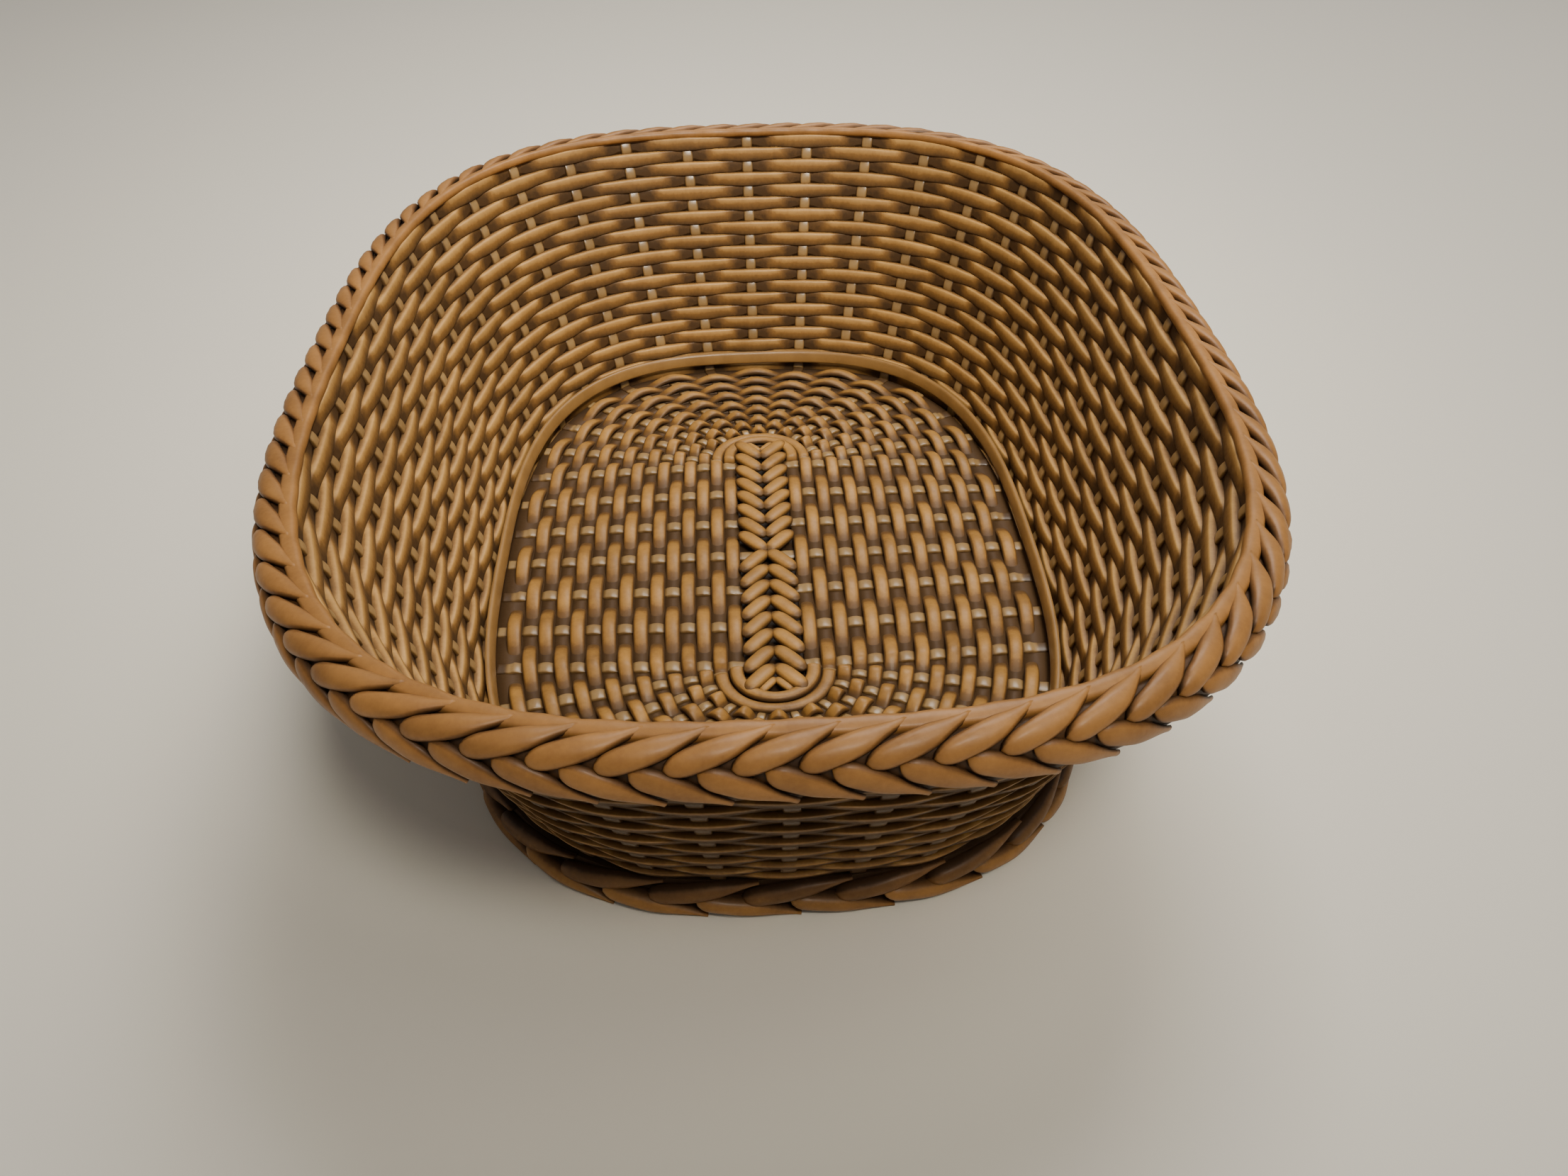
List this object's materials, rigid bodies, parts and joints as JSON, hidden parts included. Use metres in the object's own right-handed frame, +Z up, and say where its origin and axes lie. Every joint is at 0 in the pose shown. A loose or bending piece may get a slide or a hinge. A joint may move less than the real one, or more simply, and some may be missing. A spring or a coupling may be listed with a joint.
{
  "type": "bread basket",
  "caption": "Oval woven bread basket with flared sides, a flat raised floor with a plaited centre strip, and a plaited rim and foot.",
  "frame": {"origin": "on the table under the middle of the basket", "axes": "+Z up, +Y along the basket's long axis, +X across it"},
  "size_m": [0.2314, 0.302, 0.093],
  "materials": {
    "wall_weave": "satin wicker finish, ochre with dark brown in the recesses",
    "floor_weave": "satin wicker finish, light tan on the high places",
    "stakes": "semi-gloss flat strip, grey tan",
    "centre_plait": "semi-gloss rods, tan",
    "plain_hoop": "smooth satin band, ochre brown",
    "rim_plait": "semi-gloss strands, orange tan with dark gaps",
    "foot_plait": "semi-gloss strands, orange tan below and darker above",
    "hidden_core": "matt dark brown"
  },
  "bodies": {
    "root": {"centre_plait_left": "centre_plait", "centre_plait_right": "centre_plait", "floor_core_stick": "hidden_core", "floor_cross_sticks": "stakes", "floor_fan_sticks": "stakes", "floor_hoop": "plain_hoop", "floor_weaver_01": "floor_weave", "floor_weaver_02": "floor_weave", "floor_weaver_03": "floor_weave", "floor_weaver_04": "floor_weave", "floor_weaver_05": "floor_weave", "floor_weaver_06": "floor_weave", "floor_weaver_07": "floor_weave", "floor_weaver_08": "floor_weave", "floor_weaver_09": "floor_weave", "floor_weaver_10": "floor_weave", "floor_weaver_11": "floor_weave", "floor_weaver_12": "floor_weave", "floor_weaver_13": "floor_weave", "floor_weaver_14": "floor_weave", "floor_weaver_15": "floor_weave", "foot_core": "hidden_core", "foot_plait_lower": "foot_plait", "foot_plait_upper": "foot_plait", "rim_core": "hidden_core", "rim_plait_inner": "rim_plait", "rim_plait_outer": "rim_plait", "wall_stakes": "stakes", "wall_weaver_01": "wall_weave", "wall_weaver_02": "wall_weave", "wall_weaver_03": "wall_weave", "wall_weaver_04": "wall_weave", "wall_weaver_05": "wall_weave", "wall_weaver_06": "wall_weave", "wall_weaver_07": "wall_weave", "wall_weaver_08": "wall_weave", "wall_weaver_09": "wall_weave", "wall_weaver_10": "wall_weave", "wall_weaver_11": "wall_weave", "wall_weaver_12": "wall_weave", "wall_weaver_13": "wall_weave", "wall_weaver_14": "wall_weave", "wall_weaver_15": "wall_weave", "wall_weaver_16": "wall_weave", "wall_weaver_17": "wall_weave", "wall_weaver_18": "wall_weave", "wall_weaver_19": "wall_weave", "wall_weaver_20": "wall_weave", "wall_weaver_21": "wall_weave"}
  },
  "joints": []
}
